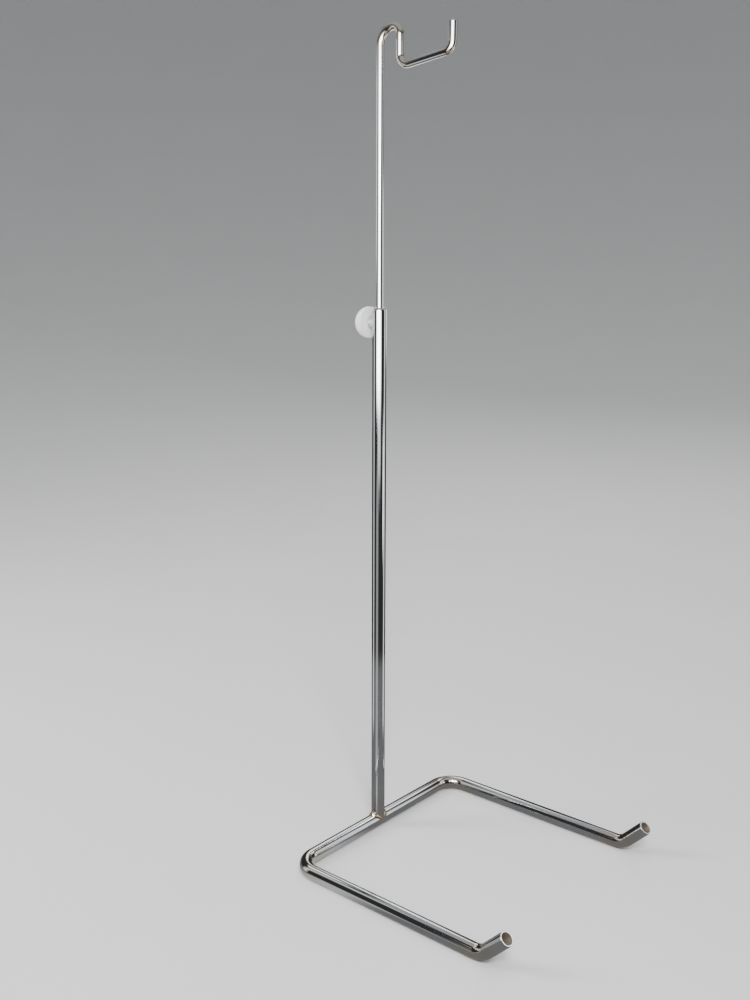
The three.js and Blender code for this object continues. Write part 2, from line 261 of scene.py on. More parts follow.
def swept(name, path, profile, sides, closed=False, swell=None, warp=None, attributes=None):
    """A round section carried along a path.

    swell(along, outward) adds to the radius of the outer wall. warp(rings, along) moves the finished rings.
    Each attribute is a function of (along, outward, slope) with a value for every point.
    """
    angles = np.arange(sides) * FULL_TURN / sides
    along = np.array([point[0] for point, _ in profile])
    frames = [path.at(float(np.clip(s, 0, path.length))) for s in along]
    spare = along - np.clip(along, 0, path.length)
    origin = np.array([f[0] for f in frames]) + np.array([f[1] for f in frames]) * spare[:, None]
    heading, side, binormal = (np.array([f[k] for f in frames]) for k in (1, 2, 3))
    cos, sin = np.cos(angles)[None, :, None], np.sin(angles)[None, :, None]
    outward = side[:, None] * cos + binormal[:, None] * sin
    around = binormal[:, None] * cos - side[:, None] * sin
    radius = np.repeat(np.array([point[1] for point, _ in profile])[:, None], sides, axis=1)
    slope = np.array([normal for _, normal in profile])
    normals = outward * slope[:, 1, None, None] + heading[:, None] * slope[:, 0, None, None]
    if swell is not None:
        wall = np.clip(slope[:, 1], 0, 1)[:, None]
        level = wall > 0.99          # the outer wall itself, not the lips at its ends
        extra = swell(along, outward) * wall
        apart = along + np.arange(len(along)) * TINY     # the gradient needs places that all differ
        rise_along = np.clip(np.where(level, np.gradient(extra, apart, axis=0), 0), -1, 1)
        rise_around = (np.roll(extra, -1, 1) - np.roll(extra, 1, 1)) / (2 * FULL_TURN / sides)
        rise_around = rise_around / np.maximum(radius, SLIGHT) * level
        normals = normals - heading[:, None] * rise_along[..., None]
        normals = normals - around * rise_around[..., None]
        radius = radius + extra
    rings = origin[:, None] + outward * radius[..., None]
    if warp is not None:
        rings = warp(rings, along)
    extras = {key: function(along, outward, slope) for key, function in (attributes or {}).items()}
    return skin(name, rings, normals, closed, extras)


def upright_axis(low, high):
    return Path([((0, 0, low), 0), ((0, 0, high), 0)])


def screw_axis():
    """From the upright's axis backwards, at the screw's height."""
    return Path([((0, 0, SCREW_HEIGHT), 0), ((-1, 0, SCREW_HEIGHT), 0)])


def show(piece, body, node, material):
    piece.data.materials.append(material)
    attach(piece, body)
    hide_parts(node)
    return piece


# ------------------------------------------------------------------------------------------ materials


class Shader:
    """A Principled material and short names for the nodes that feed it."""

    def __init__(self, name, base_color, metallic, roughness):
        self.material = bpy.data.materials.new(name)
        self.material.use_nodes = True
        self.tree = self.material.node_tree
        self.bsdf = self.tree.nodes["Principled BSDF"]
        self.bsdf.inputs["Base Color"].default_value = (*base_color, 1)
        self.bsdf.inputs["Metallic"].default_value = metallic
        self.bsdf.inputs["Roughness"].default_value = roughness

    def node(self, kind, **settings):
        node = self.tree.nodes.new(kind)
        for key, value in settings.items():
            setattr(node, key, value)
        return node

    def link(self, source, target):
        self.tree.links.new(source, target)

    def coordinates(self, output="Object", scale=(1, 1, 1)):
        """Texture coordinates, stretched by scale."""
        source = self.node("ShaderNodeTexCoord")
        mapping = self.node("ShaderNodeMapping")
        mapping.inputs["Scale"].default_value = scale
        self.link(source.outputs[output], mapping.inputs["Vector"])
        return mapping.outputs["Vector"]

    def noise(self, coordinates, scale=1.0, detail=3.0, roughness=0.5):
        node = self.node("ShaderNodeTexNoise")
        node.inputs["Scale"].default_value = scale
        node.inputs["Detail"].default_value = detail
        node.inputs["Roughness"].default_value = roughness
        self.link(coordinates, node.inputs["Vector"])
        return node.outputs["Fac"]

    def ramp(self, value, stops):
        """Maps a value through (position, grey or colour) stops."""
        node = self.node("ShaderNodeValToRGB")
        elements = node.color_ramp.elements
        while len(elements) < len(stops):
            elements.new(0.5)
        for element, (position, tone) in zip(elements, stops):
            element.position = position
            element.color = (*tone, 1) if hasattr(tone, "__len__") else (tone, tone, tone, 1)
        self.link(value, node.inputs["Fac"])
        return node.outputs["Color"]

    def span(self, value, low, high):
        """Maps a value of 0 to 1 onto low to high."""
        node = self.node("ShaderNodeMapRange")
        node.inputs["To Min"].default_value = low
        node.inputs["To Max"].default_value = high
        self.link(value, node.inputs["Value"])
        return node.outputs["Result"]

    def mix(self, factor, first, second):
        """Blends two colours, each a colour socket or three numbers."""
        node = self.node("ShaderNodeMix", data_type="RGBA")
        for key, value in (("A", first), ("B", second)):
            socket = [s for s in node.inputs if s.name == key and s.type == "RGBA"][0]
            if hasattr(value, "is_output"):
                self.link(value, socket)
            else:
                socket.default_value = (*value, 1)
        factor_socket = [s for s in node.inputs if s.name == "Factor" and s.type == "VALUE"][0]
        self.link(factor, factor_socket)
        return [s for s in node.outputs if s.type == "RGBA"][0]

    def math(self, operation, first, second):
        node = self.node("ShaderNodeMath", operation=operation)
        for socket, value in zip(node.inputs, (first, second)):
            if hasattr(value, "is_output"):
                self.link(value, socket)
            else:
                socket.default_value = value
        return node.outputs["Value"]

    def bump(self, height, strength, distance, below=None):
        node = self.node("ShaderNodeBump")
        node.inputs["Strength"].default_value = strength
        node.inputs["Distance"].default_value = distance
        self.link(height, node.inputs["Height"])
        if below is not None:
            self.link(below, node.inputs["Normal"])
        return node.outputs["Normal"]

    def attribute(self, name):
        node = self.node("ShaderNodeAttribute", attribute_name=name)
        return node.outputs["Fac"]

    def feed(self, socket, value):
        self.link(value, self.bsdf.inputs[socket])


def chrome(name, painted_reflection_and_heat_amount):
    """Mirror plate: faint smears and handling marks, fine scratches, painted warm reflection at bends, heat
    tint at welds.

    One attribute is 1 at bends and welds; there the warm colour is painted reflection of warm light at the
    bends and heat tint at the welds. The attribute "bore" is 1 inside a tube, where the steel is bare, and
    reads 0 on a piece without it.
    """
    s = Shader(name, (0.58, 0.59, 0.60), 1.0, 0.06)
    s.bsdf.inputs["Anisotropic"].default_value = 0.6
    tangent = s.node("ShaderNodeTangent", direction_type="UV_MAP", uv_map="surface")
    s.feed("Tangent", tangent.outputs["Tangent"])
    place = s.coordinates()
    smear = s.noise(place, scale=38.0, detail=4.0, roughness=0.55)
    marks = s.noise(place, scale=420.0, detail=3.0, roughness=0.6)
    rings = s.noise(s.coordinates("UV", (5200, 5, 1)), detail=2.0, roughness=0.6)
    drawn = s.noise(s.coordinates("UV", (14, 26, 1)), detail=2.0)
    bore = s.attribute("bore")
    tint = s.mix(s.ramp(smear, [(0.35, 0.0), (0.75, 1.0)]), (0.60, 0.61, 0.62), (0.51, 0.52, 0.54))
    # Warm colour at bends and welds: painted reflection of warm light at the bends, heat tint at the welds.
    painted_reflection_and_heat_tint = s.math("MULTIPLY", s.attribute("painted_reflection_and_heat_tint"), s.ramp(marks, [(0.3, 0.35), (0.62, 1.0)]))
    plate = s.mix(s.math("MULTIPLY", painted_reflection_and_heat_tint, painted_reflection_and_heat_amount), tint, (0.66, 0.50, 0.27))
    rust = s.mix(marks, (0.36, 0.31, 0.26), (0.22, 0.16, 0.12))
    s.feed("Base Color", s.mix(bore, plate, rust))
    s.feed("Metallic", s.span(bore, 1.0, 0.35))
    worn = s.math("MULTIPLY", rings, s.ramp(smear, [(0.4, 0.25), (0.68, 1.0)]))
    plate_roughness = s.span(worn, 0.045, 0.17)
    s.feed("Roughness", s.math("ADD", plate_roughness, s.math("MULTIPLY", bore, 0.45)))
    pulled = s.bump(drawn, strength=0.05, distance=0.2 * MM)
    specks = s.ramp(marks, [(0.72, 0.0), (0.80, 1.0)])
    s.feed("Normal", s.bump(specks, strength=0.05, distance=0.03 * MM, below=pulled))
    return s.material


def welded_chrome():
    """Plate over a weld: rippled, with straw, bronze and blue heat tints."""
    s = Shader("weld_chrome", (0.7, 0.64, 0.54), 1.0, 0.22)
    place = s.coordinates()
    cloud = s.noise(place, scale=210.0, detail=4.0, roughness=0.6)
    tints = [(0.32, (0.60, 0.60, 0.61)), (0.45, (0.68, 0.56, 0.36)), (0.54, (0.50, 0.34, 0.21)),
             (0.66, (0.56, 0.58, 0.64))]
    s.feed("Base Color", s.ramp(cloud, tints))
    s.feed("Roughness", s.span(s.noise(place, scale=800.0), 0.14, 0.34))
    s.feed("Normal", s.bump(s.noise(place, scale=1500.0), strength=0.12, distance=0.1 * MM))
    return s.material


def white_plastic():
    """Moulded, semi-gloss, very slightly yellowed, with a fine eggshell surface and handling marks."""
    s = Shader("white_plastic", (0.92, 0.91, 0.89), 0.0, 0.36)
    place = s.coordinates()
    aged = s.ramp(s.noise(place, scale=70.0), [(0.35, 0.0), (0.8, 1.0)])
    s.feed("Base Color", s.mix(aged, (0.93, 0.925, 0.905), (0.89, 0.88, 0.84)))
    s.feed("Roughness", s.span(s.noise(place, scale=260.0, detail=4.0), 0.28, 0.46))
    eggshell = s.noise(place, scale=2600.0, detail=2.0)
    s.feed("Normal", s.bump(eggshell, strength=0.05, distance=0.05 * MM))
    s.bsdf.inputs["Subsurface Weight"].default_value = 0.05
    s.bsdf.inputs["Subsurface Scale"].default_value = 0.001
    return s.material


def nylon():
    """Natural nylon, slightly cloudy, with fine turned rings."""
    s = Shader("natural_nylon", (0.84, 0.81, 0.72), 0.0, 0.5)
    place = s.coordinates()
    s.feed("Base Color", s.mix(s.noise(place, scale=160.0), (0.86, 0.83, 0.75), (0.80, 0.77, 0.66)))
    s.feed("Roughness", s.span(s.noise(place, scale=500.0), 0.42, 0.6))
    turned = s.noise(s.coordinates("Object", (60, 60, 1500)), detail=2.0)
    s.feed("Normal", s.bump(turned, strength=0.08, distance=0.05 * MM))
    return s.material


def plated_steel(name, base_color, darker, low, high):
    """Turned and plated: fine rings round the axis and a cloudy plate, its roughness from low to high."""
    s = Shader(name, base_color, 1.0, (low + high) / 2)
    place = s.coordinates()
    cloud = s.noise(place, scale=300.0, detail=4.0)
    s.feed("Base Color", s.mix(cloud, base_color, darker))
    s.feed("Roughness", s.span(s.noise(place, scale=900.0), low, high))
    turned = s.noise(s.coordinates("UV", (9000, 4, 1)), detail=2.0)
    s.feed("Normal", s.bump(turned, strength=0.08, distance=0.04 * MM))
    return s.material


# ------------------------------------------------------------------------------------------ foot and upright


def painted_reflection_and_heat_along(path, fade, welds=()):
    """Where the warm colour goes: 1 in a bend, as painted reflection, and at a weld, as heat tint, fading
    out along the straight runs beside it.
    """
    reach = 9 * MM                   # of a weld's heat

    def amount(along, outward, slope):
        value = np.zeros(len(along))
        for begin, end, _ in path.bends:
            outside = np.maximum(np.maximum(begin - along, along - end), 0)
            value = np.maximum(value, np.exp(-((outside / fade) ** 2)))
        for weld in welds:
            value = np.maximum(value, np.exp(-(((along - weld) / reach) ** 2)))
        return np.repeat(value[:, None], outward.shape[1], axis=1)

    return amount


def bore_wall(along, outward, slope):
    """1 on the wall that faces the axis."""
    inwards = -0.5                   # the lips of a tube face less towards the axis than this
    value = (slope[:, 1] < inwards).astype(float)
    return np.repeat(value[:, None], outward.shape[1], axis=1)


def pressed_bends(path, flatten, wrinkle, wave):
    """Bent tube is a little flat on the outside of each bend and faintly wrinkled on the inside."""
    overlap = 1.25                   # the change in shape reaches a little past the bend

    def swell(along, outward):
        extra = np.zeros(outward.shape[:2])
        for begin, end, towards in path.bends:
            half = (end - begin) / 2
            place = np.clip(1 - np.abs(along - (begin + end) / 2) / (overlap * half), 0, 1)
            strength = (place * place * (3 - 2 * place))[:, None]
            inside = outward @ np.array(towards)
            ripple = np.cos((along - begin) / wave * FULL_TURN)[:, None] * np.clip(inside, 0, 1) ** 3
            extra -= strength * (flatten * np.clip(-inside, 0, 1) ** 2 - wrinkle * ripple)
        return extra

    return swell


def foot_tube(material):
    """One tube from tip to tip: a leg, the crossbar and the other leg, with both ends open."""

    def leg(side):
        return [((TIP_X, side * LEG_Y, TIP_Z), 0), ((LEG_REACH, side * LEG_Y, TUBE_RADIUS), TIP_RADIUS),
                ((0, side * LEG_Y, TUBE_RADIUS), CORNER_RADIUS)]

    path = Path(leg(-1) + leg(1)[::-1])
    inner_lip, outer_lip = 0.2 * MM, 0.5 * MM
    end = path.length
    corners = [(0, BORE_RADIUS, inner_lip), (0, TUBE_RADIUS, outer_lip),
               (end, TUBE_RADIUS, outer_lip), (end, BORE_RADIUS, inner_lip)]
    marks = path.stations(bend_step=0.6 * MM, straight_step=6 * MM)
    profile = with_stations(fillet_profile(corners, closed=True), marks, closed=True)
    swell = pressed_bends(path, flatten=0.45 * MM, wrinkle=0.07 * MM, wave=3.4 * MM)
    # Warm colour: painted reflection of warm light on the bends, heat tint at the weld in the crossbar's
    # middle.
    attributes = {"painted_reflection_and_heat_tint": painted_reflection_and_heat_along(path, fade=2.5 * TUBE_RADIUS, welds=[end / 2]), "bore": bore_wall}
    tube = swept("foot_tube", path, profile, sides=64, closed=True, swell=swell, attributes=attributes)
    return show(tube, "frame", "base_tube", material)


def upright_tube(material):
    """A tube with a rolled-in mouth for the rod, coped onto the crossbar and drilled for the screw."""
    mouth = 4 * MM
    shoulder = upright_high.z - mouth
    mouth_radius = ROD_BORE_RADIUS + 0.9 * MM
    saddle_height = TUBE_RADIUS
    saddle_length = 10 * MM          # over which the cope fades out
    path = upright_axis(0, 1)
    corners = [(saddle_height, BORE_RADIUS, 0.1 * MM), (saddle_height, TUBE_RADIUS, 0.1 * MM),
               (shoulder, TUBE_RADIUS, 0)]
    roll_steps = 10
    for k in range(1, roll_steps):
        angle = QUARTER_TURN * k / roll_steps
        radius = mouth_radius + (TUBE_RADIUS - mouth_radius) * math.cos(angle)
        corners.append((shoulder + mouth * math.sin(angle), radius, 0))
    corners += [(upright_high.z, mouth_radius, 0.2 * MM), (upright_high.z, ROD_BORE_RADIUS, 0.25 * MM),
                (upright_high.z - mouth / 2, ROD_BORE_RADIUS, 0.2 * MM),
                (shoulder - TUBE_WALL, BORE_RADIUS, 0.5 * MM)]
    marks = [SCREW_HEIGHT - 9 * MM, SCREW_HEIGHT + 5 * MM, saddle_height + saddle_length, shoulder - 1 * MM]
    marks += [saddle_height + 30 * MM + k * 20 * MM for k in range(20)]
    profile = with_stations(smooth_profile(corners), marks, closed=True)

    def cope(rings, along):
        """The lower end follows the crossbar that it stands on."""
        reach = TUBE_RADIUS + GAP / 2
        lift = TUBE_RADIUS + np.sqrt(np.maximum(reach ** 2 - rings[..., 0] ** 2, 0)) - saddle_height
        weight = np.clip(1 - (along - saddle_height) / saddle_length, 0, 1)[:, None]
        rings[..., 2] += lift * weight
        return rings

    painted_reflection_and_heat_tint = painted_reflection_and_heat_along(path, fade=TUBE_RADIUS, welds=[2 * TUBE_RADIUS])
    attributes = {"painted_reflection_and_heat_tint": painted_reflection_and_heat_tint, "bore": bore_wall}
    tube = swept("upright", path, profile, sides=96, closed=True, warp=cope, attributes=attributes)
    drill(tube, SCREW_BORE)
    return show(tube, "frame", "upright_tube", material)


def smooth_profile(corners):
    """Like fillet_profile for a closed outline, with normals averaged where corners have no fillet."""
    profile = fillet_profile([(a, r, max(f, TINY)) for a, r, f in corners], closed=True, steps=4)
    merged = []
    for point, normal in profile:
        if merged and np.linalg.norm(merged[-1][0] - point) < SLIGHT:
            merged[-1] = (point, merged[-1][1] + normal)
        else:
            merged.append((point, normal.copy()))
    return [(point, normal / np.linalg.norm(normal)) for point, normal in merged]


def drill(tube, radius):
    """Cuts the screw's hole through the back wall of the upright."""
    profile = fillet_profile([(TUBE_RADIUS / 2, 0, 0), (TUBE_RADIUS / 2, radius, SLIGHT),
                              (2 * TUBE_RADIUS, radius, SLIGHT), (2 * TUBE_RADIUS, 0, 0)], steps=1)
    cutter = swept("cutter", screw_axis(), profile, sides=48)
    uncut = bpy.data.objects.new("uncut", tube.data.copy())
    bpy.context.scene.collection.objects.link(uncut)
    cut = tube.modifiers.new("screw_hole", "BOOLEAN")
    cut.object, cut.operation, cut.solver = cutter, "DIFFERENCE", "EXACT"
    shading = tube.modifiers.new("uncut_shading", "DATA_TRANSFER")
    shading.object, shading.use_loop_data = uncut, True
    shading.data_types_loops = {"CUSTOM_NORMAL"}
    shading.loop_mapping = "POLYINTERP_NEAREST"
    apply_modifiers(tube)
    for helper in (cutter, uncut):
        bpy.data.objects.remove(helper)


def apply_modifiers(piece):
    bpy.context.view_layer.update()
    graph = bpy.context.evaluated_depsgraph_get()
    piece.data = bpy.data.meshes.new_from_object(piece.evaluated_get(graph))
    piece.modifiers.clear()


def foot_weld(material):
    """A rippled bead in the corner between the crossbar and the upright, closed underneath."""
    turns, across = 240, 12
    toe_radius = TUBE_RADIUS - 0.12 * MM     # the bead's edges lie just under the tubes' surfaces
    buried = 0.93 * TUBE_RADIUS              # its hidden corner
    crown, ripple_height = 0.42 * MM, 0.11 * MM
    rows = []
    for angle in np.arange(turns) * FULL_TURN / turns:
        c, s = math.cos(angle), math.sin(angle)
        wander = 1 + 0.16 * math.sin(3 * angle + 0.7) + 0.09 * math.sin(7 * angle + 2.1)
        climb = (2.9 - 0.8 * abs(c)) * MM * wander
        spread = (2.5 * abs(s) + 0.9) * MM * wander
        roll = math.asin(min(abs(c), 0.999))
        saddle = math.cos(roll)
        top = np.array([toe_radius * c, toe_radius * s, TUBE_RADIUS + TUBE_RADIUS * saddle + climb])
        toe_roll = roll + spread * abs(c) / TUBE_RADIUS
        toe_x = math.copysign(toe_radius * math.sin(toe_roll), c) if abs(c) > SLIGHT else 0.0
        toe = np.array([toe_x, TUBE_RADIUS * s + spread * s, TUBE_RADIUS + toe_radius * math.cos(toe_roll)])
        corner = np.array([buried * c, buried * s, TUBE_RADIUS + buried * saddle])
        outwards = (top + toe) / 2 - corner
        outwards /= np.linalg.norm(outwards)
        beat = math.cos(26 * angle + 0.8 * math.sin(3 * angle)) + 0.5 * math.cos(17 * angle + 1)
        line = []
        for j in range(across + 1):
            t = j / across
            arch = math.sin(math.pi * t)
            bulge = arch ** 0.8 * (crown + ripple_height * beat * arch)
            line.append(top + (toe - top) * t + outwards * bulge)
        line += [(toe + corner) / 2, corner, (top + corner) / 2]
        rows.append(line)
    rings = np.array(rows)
    down_section = np.roll(rings, -1, 1) - np.roll(rings, 1, 1)
    around = np.roll(rings, -1, 0) - np.roll(rings, 1, 0)
    normals = np.cross(around, down_section)
    outward = rings - rings.mean(axis=1, keepdims=True)
    flip = np.sign((normals * outward).sum(axis=2).mean())
    weld = skin("weld_bead", rings, normals * flip, closed=True)
    return show(weld, "frame", "foot_weld", material)


# ------------------------------------------------------------------------------------------ rod and glide


def groove_heights():
    """Middle heights of the two clips."""
    return [(low.z + high.z) / 2 for low, high in (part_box("rod_clip_lower"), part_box("rod_clip_upper"))]


def hook_rod(material):
    """One rod from its grooved lower end up to the arch, down the drop, along the arm and up to the tip."""
    arm_end = ARM_HEIGHT + (ARM_REACH - DROP_X) * math.tan(ARM_RISE)
    bottom = rod_low.z
    path = Path([((0, 0, bottom), 0), ((0, 0, ARCH_TOP), ARCH_REAR_RADIUS),
                 ((DROP_X, 0, ARCH_TOP), ARCH_FRONT_RADIUS), ((DROP_X, 0, ARM_HEIGHT), HOOK_RADIUS),
                 ((ARM_REACH, 0, arm_end), HOOK_RADIUS), ((ARM_REACH, 0, HOOK_TIP_HEIGHT), 0)])
    half = 0.7 * MM                  # of a groove's width
    groove_radius = 2.4 * MM
    corners = [(0, 0, 0), (0, ROD_RADIUS, 0.5 * MM)]
    for height in groove_heights():
        low, high = height - half - bottom, height + half - bottom
        corners += [(low, ROD_RADIUS, 0.05 * MM), (low, groove_radius, 0.1 * MM),
                    (high, groove_radius, 0.1 * MM), (high, ROD_RADIUS, 0.05 * MM)]
    end = path.length
    corners += [(end, ROD_RADIUS, 1.1 * MM), (end, 0, 0)]
    marks = path.stations(bend_step=0.4 * MM, straight_step=5 * MM)
    profile = with_stations(fillet_profile(corners, steps=6), marks)
    swell = pressed_bends(path, flatten=0.12 * MM, wrinkle=0.015 * MM, wave=2.6 * MM)
    # Warm colour on the bends: painted reflection of warm light.
    attributes = {"painted_reflection_and_heat_tint": painted_reflection_and_heat_along(path, fade=1.4 * ROD_RADIUS)}
    rod = swept("hook_rod_bent", path, profile, sides=48, swell=swell, attributes=attributes)
    return show(rod, "rod", "hook_rod", material)


def retaining_clip(node, height, material):
    """A split ring of flat spring steel with rounded edges and a lug at each end."""
    sides, steps = 20, 64
    opening = math.radians(70)
    inner, outer, half = 2.7 * MM, 4.3 * MM, 0.4 * MM
    angles = np.arange(sides) * FULL_TURN / sides
    power = 0.35                     # below 1 it squares the section
    lug_swell, lug_reach = 0.25 * MM, 0.05
    across = np.sign(np.cos(angles)) * np.abs(np.cos(angles)) ** power
    up = np.sign(np.sin(angles)) * np.abs(np.sin(angles)) ** power
    rows, normals = [], []
    for k in range(steps + 1):
        t = k / steps
        theta = opening / 2 + (FULL_TURN - opening) * t
        direction = np.array([math.cos(theta), math.sin(theta), 0])
        lug = lug_swell * (math.exp(-((t / lug_reach) ** 2)) + math.exp(-(((1 - t) / lug_reach) ** 2)))
        middle, width = (inner + outer) / 2 - lug / 2, (outer - inner) / 2 + lug / 2
        ring = direction * (middle + across[:, None] * width) + np.array([0, 0, 1]) * up[:, None] * half
        rows.append(ring + np.array([0, 0, height]))
        normals.append(direction * across[:, None] + np.array([0, 0, 1]) * up[:, None])
    ends = []
    for k, sign in ((0, -1), (-1, 1)):
        centre = rows[k].mean(axis=0)
        theta = opening / 2 if k == 0 else FULL_TURN - opening / 2
        outwards = sign * np.array([-math.sin(theta), math.cos(theta), 0])
        ends.append((np.repeat(centre[None], sides, 0), np.repeat(outwards[None], sides, 0)))
    rings = np.array([ends[0][0]] + rows + [ends[1][0]])
    clip = skin(node.replace("rod_", "split_"), rings, np.array([ends[0][1]] + normals + [ends[1][1]]))
    return show(clip, "rod", node, material)


def rod_glide(material):
    """A sleeve that touches the tube only at its two ends."""
    outer = BORE_RADIUS - GAP
    relief, land = 0.5 * MM, 3 * MM
    low, high = glide_low.z, glide_high.z
    soft = 0.2 * MM
    corners = [(low, ROD_BORE_RADIUS, soft), (low, outer, soft), (low + land, outer, soft),
               (low + land + relief, outer - relief, soft), (high - land - relief, outer - relief, soft),
               (high - land, outer, soft), (high, outer, soft), (high, ROD_BORE_RADIUS, soft)]
    profile = fillet_profile(corners, closed=True)
    glide = swept("glide_sleeve", upright_axis(0, 1), profile, sides=64, closed=True)
    return show(glide, "glide", "rod_glide", material)


# ------------------------------------------------------------------------------------------ thumbscrew


def screw_boss(material):
    """A collar with a small bevel, its inner end shaped to the back of the upright."""
    outer = boss_high.y
    face = -boss_low.x
    seat = 3 * MM
    seat_end = seat + 0.2 * MM       # rings up to here follow the upright's back
    extra_ring = 7.3 * MM            # one more ring part of the way along the collar
    corners = [(seat, SCREW_BORE, 0.05 * MM), (seat, outer, 0.05 * MM),
               (face, outer, 0.5 * MM), (face, SCREW_BORE, 0.25 * MM)]
    profile = with_stations(fillet_profile(corners, closed=True), [extra_ring], closed=True)

    def cope(rings, along):
        reach = TUBE_RADIUS + GAP / 4
        wall = np.sqrt(reach ** 2 - rings[..., 1] ** 2)
        at_seat = (along < seat_end)[:, None]
        rings[..., 0] = np.where(at_seat, -wall - (along[:, None] - seat), rings[..., 0])
        return rings

    boss = swept("clamp_boss", screw_axis(), profile, sides=64, closed=True, warp=cope)
    return show(boss, "frame", "screw_boss", material)


def screw_head(material):
    """A moulded dome with a narrow rim, a hollowed back and a small gate mark on its crown."""
    radius = head_high.z - SCREW_HEIGHT
    face, crown = -head_high.x, -head_low.x
    bore_end = GAP - stud_low.x
    rim = face + 1 * MM
    flat = 4 * MM                    # radius of the flat on the crown
    hollow = face + 0.6 * MM
    gate, gate_depth = 0.9 * MM, 0.25 * MM
    steps = 20
    dome = []
    for k in range(steps + 1):
        angle = QUARTER_TURN * k / steps
        along = rim + (crown - rim) * math.sin(angle)
        reach = flat + (radius - flat) * math.cos(angle)
        slope = np.array([math.sin(angle) * (radius - flat), math.cos(angle) * (crown - rim)])
        dome.append((np.array([along, reach]), slope / np.linalg.norm(slope)))
    inside = [(bore_end, 0, 0), (bore_end, SCREW_BORE, 0.1 * MM), (hollow, SCREW_BORE, 0.2 * MM),
              (hollow, 5.2 * MM, 0.2 * MM), (face, 5.6 * MM, 0.2 * MM),
              (face, radius, 0.45 * MM), (rim, radius, 0)]
    outside = [(crown, flat, 0), (crown, gate, 0.12 * MM), (crown - gate_depth, gate * 0.8, 0.1 * MM),
               (crown - gate_depth, 0, 0)]
    profile = fillet_profile(inside, steps=5)[:-1] + dome + fillet_profile(outside, steps=4)[1:]
    head = swept("thumb_knob", screw_axis(), profile, sides=96)
    return show(head, "screw", "screw_head", material)


def screw_stud(material):
    """A real 60-degree thread of one start, right-handed, with a drilled tip that holds the pad's pin."""
    radius, start, end = 2.5 * MM, -stud_high.x, -stud_low.x
    depth = 0.5 * MM
    sides, per_turn = 36, 12
    count = int((end - start) / PITCH * per_turn)
    pin_bore = 1.3 * MM
    drilled = start + 2 * MM
    taper = 0.8 * MM                 # length over which the thread fades out at each end
    undercut = 0.15 * MM             # of the root at the ends
    crest, flank, lean = 1.15, 2.4, 0.55     # the thread's section over one pitch
    point, heading, side, binormal = (np.array(v) for v in screw_axis().at(0.0))
    angles = np.arange(sides) * FULL_TURN / sides
    direction = np.cos(angles)[:, None] * side + np.sin(angles)[:, None] * binormal
    rows, normals = [], []
    for along, reach in ((drilled, 0.0), (drilled, pin_bore), (start, pin_bore)):
        rows.append(point + heading * along + direction * reach)
        normals.append(np.repeat(-heading[None], sides, 0))
    for k in range(count + 1):
        along = start + (end - start) * k / count
        phase = (along / PITCH - angles / FULL_TURN) % 1.0
        tooth = np.clip(crest - np.abs(phase - 0.5) * flank, 0, 1)
        ends = min(1.0, (along - start) / taper, (end - along) / taper)
        reach = radius - depth + depth * tooth * ends - undercut * (1 - ends)
        tilt = np.where(tooth * (1 - tooth) > 0, np.sign(phase - 0.5) * lean, 0)
        rows.append(point + heading * along + direction * reach[:, None])
        normals.append(direction + heading * tilt[:, None])
    rows.append(point + heading * end + direction * 0.0)
    normals.append(np.repeat(heading[None], sides, 0))
    stud = skin("threaded_stud", np.array(rows), np.array(normals))
    return show(stud, "screw", "screw_stud", material)


def screw_pad(material):
    """A disc that bears on the rod, with a pin in the stud's tip."""
    face, end = -pad_high.x, -pad_low.x
    radius, thickness, pin = 2.2 * MM, 0.75 * MM, 1 * MM
    corners = [(face, 0, 0), (face, radius, 0.15 * MM), (face + thickness, radius, 0.15 * MM),
               (face + thickness, pin, 0.1 * MM), (end, pin, 0.2 * MM), (end, 0, 0)]
    pad = swept("pressure_pad", screw_axis(), fillet_profile(corners), sides=48)
    return show(pad, "pad", "screw_pad", material)


# ------------------------------------------------------------------------------------------ studio

FLOOR_RADIUS = 1.1
COVE_RADIUS = 3.6
BACKDROP_HEIGHT = 3.8
TENT_RADIUS = 0.5
TENT_HEIGHT = 0.88
TENT_LIFT = 0.0008                   # height of the tent's own floor
TENT_DARK = 0.045                    # brightness of its wall
TENT_FLOOR = 0.24                    # brightness of its floor
PANEL_EDGE = 0.08                    # height over which a panel's lower and upper edges fade
PANEL_FADE = 0.8                     # share of a panel's half width over which its sides fade
# Azimuth and half width in degrees, lowest and highest edge in metres up the wall (negative: inwards along
# the floor from the foot of the wall), brightness.
TENT_PANELS = [
    (-50, 34, 0.22, 0.88, 1.6),
    (-60, 46, 0.33, 0.86, 14.0),
    (-50, 8, 0.56, 0.70, 60.0),
    (-75, 26, -0.50, 0.30, 0.5),
    (130, 20, 0.24, 0.86, 2.5),
    (-140, 17, -0.30, 0.86, 1.1),
    (44, 16, -0.30, 0.86, 1.6),
    (22, 10, 0.12, 0.36, 4.0),
    (180, 24, 0.48, 0.82, 2.4),
    (90, 24, 0.38, 0.66, 2.4),
]
CAMERA_PLACE = (0.6414, -0.7586, 0.5352)
CAMERA_YAW = math.radians(130.42)    # heading of the view, counter-clockwise from +X
CAMERA_PITCH = math.radians(12.23)   # below the horizon
CAMERA_ROLL = math.radians(0.14)
CAMERA_LENS = 40.46                  # millimetres, on a sensor of CAMERA_SENSOR millimetres
CAMERA_SENSOR = 36
MIDDLE = (0.05, 0, 0.36)             # of the stand, where the lights point
# Name, place, target, width, height, power in watts.
SOFT_LIGHTS = [
    ("key", (0.95, -0.95, 1.3), MIDDLE, 0.4, 0.4, 28),
    ("left", (-1.1, -1.0, 0.9), (0, 0, 0.45), 0.5, 0.9, 22),
    ("back", (-0.6, 1.5, 1.2), MIDDLE, 1.0, 0.5, 8),
    ("top", (0, 0, 2.2), MIDDLE, 1.4, 1.4, 12),
]


